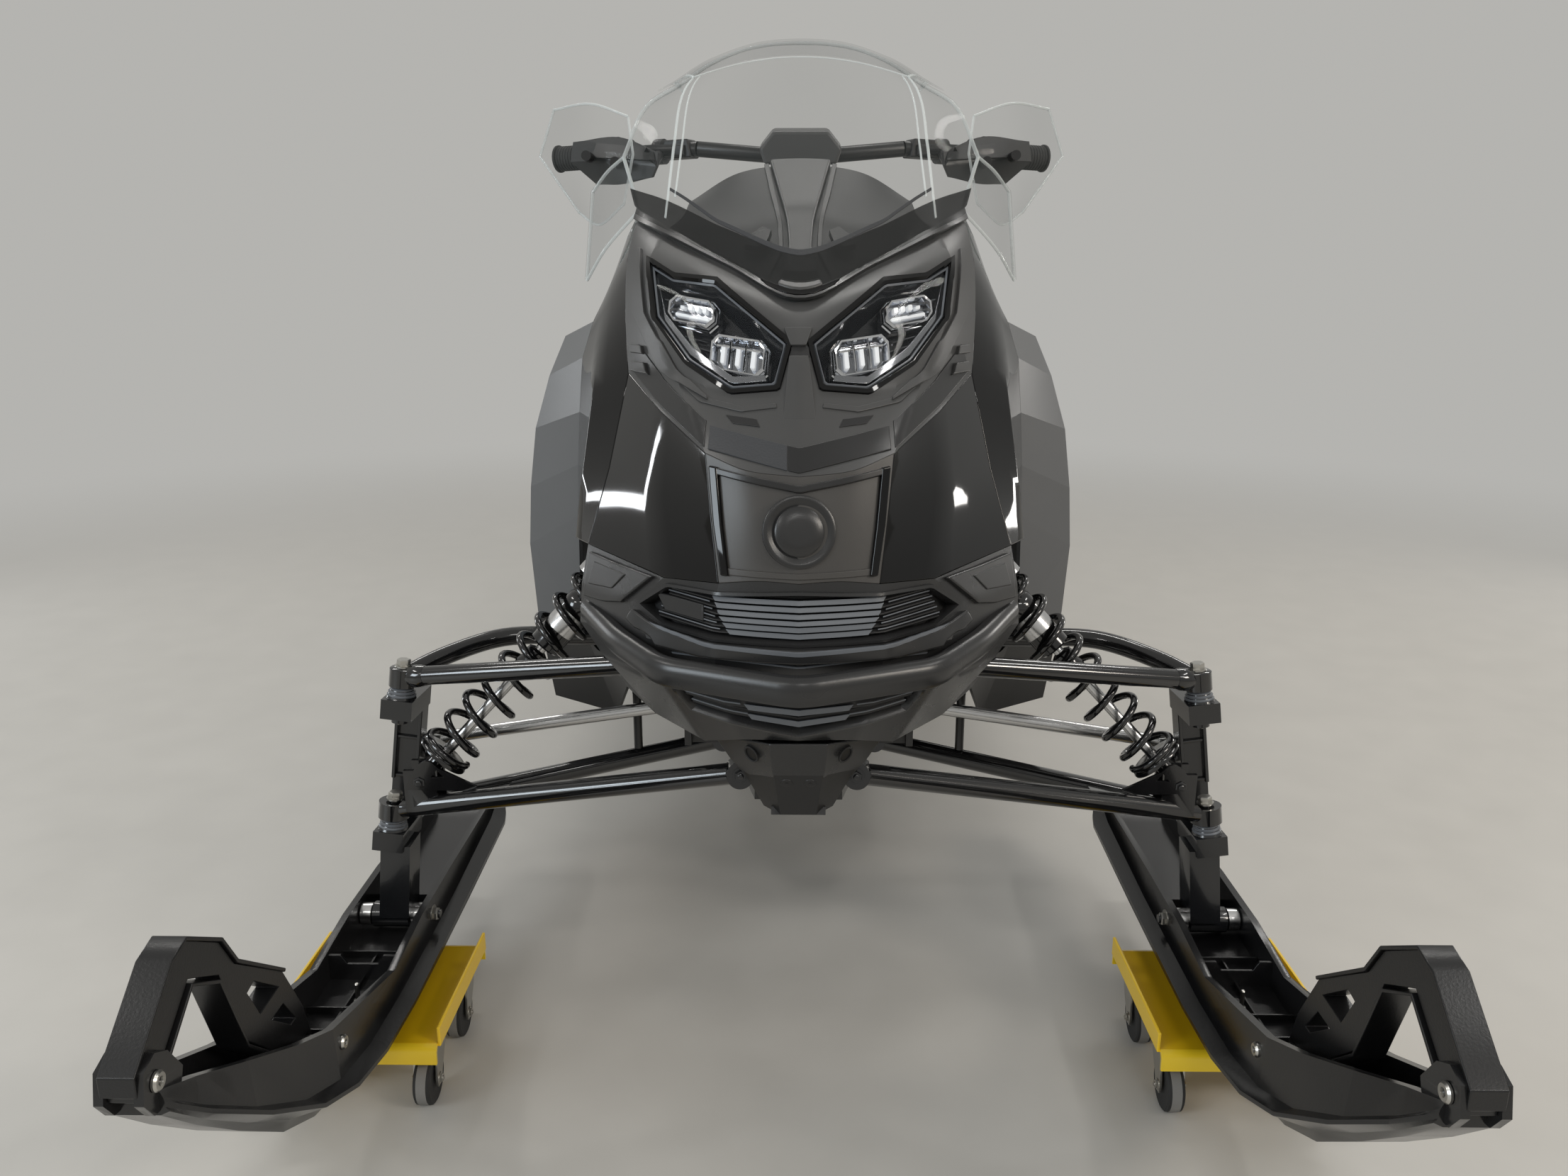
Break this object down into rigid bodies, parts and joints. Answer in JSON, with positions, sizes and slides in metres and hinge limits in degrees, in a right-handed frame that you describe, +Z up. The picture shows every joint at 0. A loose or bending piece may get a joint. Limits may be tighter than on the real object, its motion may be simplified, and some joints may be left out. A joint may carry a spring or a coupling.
{
  "type": "touring snowmobile",
  "caption": "Two-up touring snowmobile with steerable skis, coil-over front suspension, tall clear windshield and lugged track, standing on wheeled shop dollies.",
  "frame": {"origin": "centre of the overall plan on the floor under the casters", "axes": "+Z up, the front faces -Y, the machine's left side is +X, the length runs along Y"},
  "size_m": [1.299, 3.112, 1.2784],
  "materials": {
    "cowl_plastic": "matt, lightly textured",
    "gloss_black": "gloss",
    "knee_grey": "satin grey",
    "fascia_satin": "satin",
    "badge_satin": "satin",
    "black_plastic": "matt",
    "clear_screen": "clear plastic, polished",
    "lamp_lens": "clear",
    "lamp_bowl": "dark reflector",
    "black_steel": "satin powder coat",
    "gloss_steel": "gloss powder coat",
    "engine_metal": "as cast",
    "tunnel_alloy": "mill finish",
    "seat_vinyl": "grained",
    "rubber": "matt",
    "tail_red": "gloss",
    "track_rubber": "matt",
    "shock_metal": "anodised",
    "spring_black": "gloss",
    "dolly_yellow": "gloss",
    "caster_zinc": "zinc plated",
    "ski_plastic": "satin",
    "spindle_black": "satin",
    "tie_rod_zinc": "zinc plated"
  },
  "bodies": {
    "machine": {"badge_plate": "badge_satin", "belly_pan": "black_plastic", "bulkhead_frame": "black_steel", "console": "black_plastic", "driver_seat": "seat_vinyl", "engine_block": "engine_metal", "front_bumper": "fascia_satin", "gloss_cheeks": "gloss_black", "grille_slats": "black_plastic", "headlamp_bowls": "lamp_bowl", "headlamp_lenses": "lamp_lens", "headlight_cowl": "cowl_plastic", "lower_arms": "gloss_steel", "nose_fascia": "fascia_satin", "passenger_seat": "seat_vinyl", "rear_rack": "black_steel", "running_boards": "black_steel", "shock_absorbers": "shock_metal", "shock_springs": "spring_black", "side_covers": "knee_grey", "side_deflectors": "clear_screen", "side_panels": "gloss_black", "skid_arms": "black_steel", "skid_plate": "black_plastic", "slide_rails": "tunnel_alloy", "snow_flap": "rubber", "sway_bar": "black_steel", "tail_lamp": "tail_red", "tank_cover": "cowl_plastic", "track": "track_rubber", "track_casters": "caster_zinc", "track_dolly": "dolly_yellow", "track_wheels": "black_plastic", "tunnel": "tunnel_alloy", "upper_arms": "gloss_steel", "windshield": "clear_screen"},
    "handlebar": {"handlebar": "black_steel", "hand_guards": "cowl_plastic", "hand_screens": "clear_screen"},
    "ski_left": {"ski_left": "ski_plastic", "ski_loop_left": "ski_plastic", "spindle_left": "spindle_black", "ski_dolly_left": "dolly_yellow", "ski_casters_left": "caster_zinc"},
    "tie_rod_left": {"tie_rod_left": "tie_rod_zinc"},
    "ski_right": {"ski_right": "ski_plastic", "ski_loop_right": "ski_plastic", "spindle_right": "spindle_black", "ski_dolly_right": "dolly_yellow", "ski_casters_right": "caster_zinc"},
    "tie_rod_right": {"tie_rod_right": "tie_rod_zinc"}
  },
  "joints": [
    {"name": "steering", "type": "hinge", "parent": "machine", "child": "handlebar", "pos_m": [0, -0.739, 0.735], "axis": [0, 0.4371, 0.8994], "range_deg": [-35, 35]},
    {"name": "ski_left_steer", "type": "hinge", "parent": "machine", "child": "ski_left", "pos_m": [0.533, -0.93, 0.317], "axis": [-0.1266, 0.055, 0.9904], "range_deg": [-28.5, 28.5]},
    {"name": "tie_rod_left_pivot", "type": "hinge", "parent": "ski_left", "child": "tie_rod_left", "pos_m": [0.503, -0.839, 0.361], "axis": [-0.1266, 0.055, 0.9904], "range_deg": [-28.5, 28.5]},
    {"name": "ski_right_steer", "type": "hinge", "parent": "machine", "child": "ski_right", "pos_m": [-0.533, -0.93, 0.317], "axis": [0.1266, 0.055, 0.9904], "range_deg": [-28.5, 28.5]},
    {"name": "tie_rod_right_pivot", "type": "hinge", "parent": "ski_right", "child": "tie_rod_right", "pos_m": [-0.503, -0.839, 0.361], "axis": [0.1266, 0.055, 0.9904], "range_deg": [-28.5, 28.5]}
  ],
  "couplings": [
    {"joint": "ski_left_steer", "follows": "steering", "ratio": 0.8},
    {"joint": "tie_rod_left_pivot", "follows": "steering", "ratio": -0.8},
    {"joint": "ski_right_steer", "follows": "steering", "ratio": 0.8},
    {"joint": "tie_rod_right_pivot", "follows": "steering", "ratio": -0.8}
  ]
}
